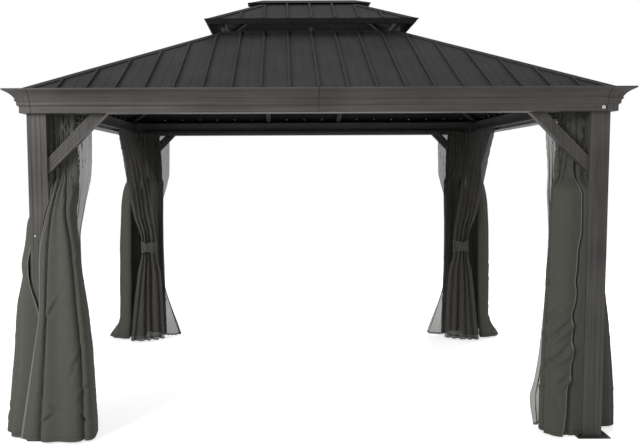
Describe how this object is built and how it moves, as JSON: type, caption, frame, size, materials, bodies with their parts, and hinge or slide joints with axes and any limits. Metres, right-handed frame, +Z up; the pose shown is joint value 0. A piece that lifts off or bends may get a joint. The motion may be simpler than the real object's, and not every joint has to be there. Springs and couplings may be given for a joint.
{
  "type": "hardtop garden gazebo",
  "caption": "Open metal gazebo on fluted posts, with a two-tier hipped roof of seamed sheets, a crown fascia, corner braces and gathered curtains with netting.",
  "frame": {"origin": "on the ground, at the centre of the footprint", "axes": "+X along the long side to the right seen from the front, +Y from front to rear, +Z up"},
  "size_m": [3.8418, 3.05, 2.9397],
  "materials": {
    "frame_metal": "matt powder-coated aluminium, warm dark grey",
    "roof_metal": "matt coated steel sheet, charcoal",
    "plate_metal": "matt powder-coated steel",
    "rail_metal": "matt anodised track",
    "curtain_fabric": "plain woven polyester, grey",
    "net_fabric": "sheer dark netting"
  },
  "bodies": {
    "root": {"beam_front": "frame_metal", "beam_left": "frame_metal", "beam_rear": "frame_metal", "beam_right": "frame_metal", "braces_front_left": "frame_metal", "braces_front_right": "frame_metal", "braces_rear_left": "frame_metal", "braces_rear_right": "frame_metal", "crown_cap_front_left": "frame_metal", "crown_cap_front_right": "frame_metal", "crown_cap_rear_left": "frame_metal", "crown_cap_rear_right": "frame_metal", "crown_front_left": "frame_metal", "crown_front_right": "frame_metal", "crown_left": "frame_metal", "crown_rear_left": "frame_metal", "crown_rear_right": "frame_metal", "crown_right": "frame_metal", "crown_splices": "plate_metal", "curtain_front_left": "curtain_fabric", "curtain_front_right": "curtain_fabric", "curtain_rails": "rail_metal", "curtain_rear_left": "curtain_fabric", "curtain_rear_right": "curtain_fabric", "foot_plate_front_left": "plate_metal", "foot_plate_front_right": "plate_metal", "foot_plate_rear_left": "plate_metal", "foot_plate_rear_right": "plate_metal", "hip_caps_lower": "roof_metal", "hip_caps_upper": "roof_metal", "hip_rafters": "frame_metal", "mid_rafters": "frame_metal", "net_front_left": "net_fabric", "net_front_right": "net_fabric", "net_rear_left": "net_fabric", "net_rear_right": "net_fabric", "post_front_left": "frame_metal", "post_front_right": "frame_metal", "post_rear_left": "frame_metal", "post_rear_right": "frame_metal", "ridge_bar": "frame_metal", "ridge_cap": "roof_metal", "roof_lower_front": "roof_metal", "roof_lower_left": "roof_metal", "roof_lower_rear": "roof_metal", "roof_lower_right": "roof_metal", "roof_upper_front": "roof_metal", "roof_upper_left": "roof_metal", "roof_upper_rear": "roof_metal", "roof_upper_right": "roof_metal", "tie_bands": "curtain_fabric", "upper_crown": "roof_metal", "upper_ring": "frame_metal", "vent_curb": "frame_metal", "vent_struts": "frame_metal"}
  },
  "joints": []
}
